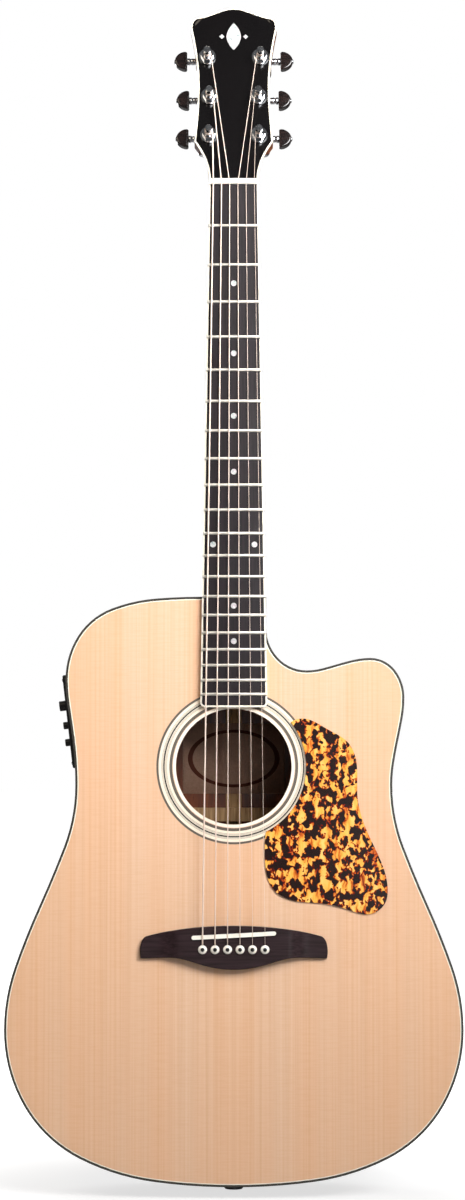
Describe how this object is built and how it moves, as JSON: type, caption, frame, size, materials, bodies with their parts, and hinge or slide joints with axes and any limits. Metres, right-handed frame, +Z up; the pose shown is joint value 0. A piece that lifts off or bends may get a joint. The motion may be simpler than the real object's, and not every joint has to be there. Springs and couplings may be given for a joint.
{
  "type": "acoustic guitar",
  "caption": "Dreadnought cutaway acoustic guitar with spruce top, bound body, geared tuners, side preamp with knobs and end-pin jack.",
  "frame": {"origin": "mouth of the end-pin jack, on the body's centre line at half its depth at the tail", "axes": "+Z up the neck, -Y towards the soundboard side, +X towards the cutaway and treble side"},
  "size_m": [0.3952, 0.1328, 1.0414],
  "materials": {
    "spruce_top": "clear gloss over spruce",
    "body_wood": "clear gloss over mahogany",
    "neck_wood": "satin mahogany",
    "inner_wood": "bare spruce and mahogany",
    "rosewood": "oiled rosewood",
    "black_binding": "polished binding",
    "ivory_binding": "polished binding",
    "rosette_inlay": "flush rings under lacquer",
    "tortoise": "polished celluloid",
    "bone": "moulded nut and saddle",
    "pearl": "pearl inlay",
    "black_lacquer": "gloss black veneer",
    "fret_wire": "nickel silver",
    "string_wire": "bronze wound and plain steel",
    "chrome": "chrome plate",
    "dark_button": "ebony-coloured button",
    "black_abs": "moulded",
    "steel": "plain steel"
  },
  "bodies": {
    "root": {"soundboard": "spruce_top", "rosette": "rosette_inlay", "top_binding": "black_binding", "back_binding": "black_binding", "top_purfling": "ivory_binding", "sides": "body_wood", "back_plate": "body_wood", "linings": "inner_wood", "neck_block": "inner_wood", "tail_block": "inner_wood", "top_braces": "inner_wood", "back_braces": "inner_wood", "bridge_plate": "inner_wood", "pickguard": "tortoise", "bridge": "rosewood", "saddle": "bone", "piezo_pickup": "steel", "bridge_pins": "bone", "strings": "string_wire", "neck": "neck_wood", "heel_cap": "black_binding", "fretboard": "rosewood", "fretboard_binding": "ivory_binding", "frets": "fret_wire", "fret_markers": "pearl", "nut": "bone", "truss_rod": "steel", "headstock_veneer": "black_lacquer", "headstock_binding": "ivory_binding", "headstock_inlay": "pearl", "tuner_housings": "chrome", "tuner_bushings": "chrome", "tuner_screws": "chrome", "preamp_panel": "black_abs", "preamp_box": "black_abs", "endpin_jack": "chrome", "strap_button": "chrome"},
    "tuner_1": {"tuner_button_1": "dark_button", "tuner_shaft_1": "chrome"},
    "post_1": {"tuner_post_1": "chrome"},
    "tuner_2": {"tuner_button_2": "dark_button", "tuner_shaft_2": "chrome"},
    "post_2": {"tuner_post_2": "chrome"},
    "tuner_3": {"tuner_button_3": "dark_button", "tuner_shaft_3": "chrome"},
    "post_3": {"tuner_post_3": "chrome"},
    "tuner_4": {"tuner_button_4": "dark_button", "tuner_shaft_4": "chrome"},
    "post_4": {"tuner_post_4": "chrome"},
    "tuner_5": {"tuner_button_5": "dark_button", "tuner_shaft_5": "chrome"},
    "post_5": {"tuner_post_5": "chrome"},
    "tuner_6": {"tuner_button_6": "dark_button", "tuner_shaft_6": "chrome"},
    "post_6": {"tuner_post_6": "chrome"},
    "volume_knob": {"volume_knob": "black_abs"},
    "bass_knob": {"bass_knob": "black_abs"},
    "treble_knob": {"treble_knob": "black_abs"},
    "battery_tray": {"battery_tray": "black_abs"},
    "truss_rod_nut": {"truss_rod_nut": "steel"}
  },
  "joints": [
    {"name": "tuner_1_turn", "type": "hinge", "parent": "root", "child": "tuner_1", "pos_m": [-0.0219, -0.02925, 0.92278], "axis": [-1, 0, 0], "continuous": true},
    {"name": "post_1_turn", "type": "hinge", "parent": "root", "child": "post_1", "pos_m": [-0.0219, -0.0306, 0.91694], "axis": [0, -0.9744, 0.225], "continuous": true},
    {"name": "tuner_2_turn", "type": "hinge", "parent": "root", "child": "tuner_2", "pos_m": [-0.0215, -0.02093, 0.95883], "axis": [-1, 0, 0], "continuous": true},
    {"name": "post_2_turn", "type": "hinge", "parent": "root", "child": "post_2", "pos_m": [-0.0215, -0.02228, 0.95299], "axis": [0, -0.9744, 0.225], "continuous": true},
    {"name": "tuner_3_turn", "type": "hinge", "parent": "root", "child": "tuner_3", "pos_m": [-0.0234, -0.01238, 0.99586], "axis": [-1, 0, 0], "continuous": true},
    {"name": "post_3_turn", "type": "hinge", "parent": "root", "child": "post_3", "pos_m": [-0.0234, -0.01373, 0.99001], "axis": [0, -0.9744, 0.225], "continuous": true},
    {"name": "tuner_4_turn", "type": "hinge", "parent": "root", "child": "tuner_4", "pos_m": [0.0219, -0.02925, 0.92278], "axis": [1, 0, 0], "continuous": true},
    {"name": "post_4_turn", "type": "hinge", "parent": "root", "child": "post_4", "pos_m": [0.0219, -0.0306, 0.91694], "axis": [0, -0.9744, 0.225], "continuous": true},
    {"name": "tuner_5_turn", "type": "hinge", "parent": "root", "child": "tuner_5", "pos_m": [0.0215, -0.02093, 0.95883], "axis": [1, 0, 0], "continuous": true},
    {"name": "post_5_turn", "type": "hinge", "parent": "root", "child": "post_5", "pos_m": [0.0215, -0.02228, 0.95299], "axis": [0, -0.9744, 0.225], "continuous": true},
    {"name": "tuner_6_turn", "type": "hinge", "parent": "root", "child": "tuner_6", "pos_m": [0.0234, -0.01238, 0.99586], "axis": [1, 0, 0], "continuous": true},
    {"name": "post_6_turn", "type": "hinge", "parent": "root", "child": "post_6", "pos_m": [0.0234, -0.01373, 0.99001], "axis": [0, -0.9744, 0.225], "continuous": true},
    {"name": "volume_knob_turn", "type": "hinge", "parent": "root", "child": "volume_knob", "pos_m": [-0.14719, -0.018, 0.42304], "axis": [-0.9932, 0, -0.1162], "range_deg": [-150, 150]},
    {"name": "bass_knob_turn", "type": "hinge", "parent": "root", "child": "bass_knob", "pos_m": [-0.14517, -0.018, 0.40576], "axis": [-0.9932, 0, -0.1162], "range_deg": [-150, 150]},
    {"name": "treble_knob_turn", "type": "hinge", "parent": "root", "child": "treble_knob", "pos_m": [-0.14343, -0.018, 0.39086], "axis": [-0.9932, 0, -0.1162], "range_deg": [-150, 150]},
    {"name": "battery_tray_slide", "type": "slide", "parent": "root", "child": "battery_tray", "axis": [-0.9932, 0, -0.1162], "range_m": [0, 0.025]},
    {"name": "truss_rod_nut_turn", "type": "hinge", "parent": "root", "child": "truss_rod_nut", "pos_m": [0, -0.05, 0.4545], "axis": [0, 0, 1], "range_deg": [-180, 180]}
  ],
  "couplings": [
    {"joint": "post_1_turn", "follows": "tuner_1_turn", "ratio": 0.066667},
    {"joint": "post_2_turn", "follows": "tuner_2_turn", "ratio": 0.066667},
    {"joint": "post_3_turn", "follows": "tuner_3_turn", "ratio": 0.066667},
    {"joint": "post_4_turn", "follows": "tuner_4_turn", "ratio": -0.066667},
    {"joint": "post_5_turn", "follows": "tuner_5_turn", "ratio": -0.066667},
    {"joint": "post_6_turn", "follows": "tuner_6_turn", "ratio": -0.066667}
  ]
}
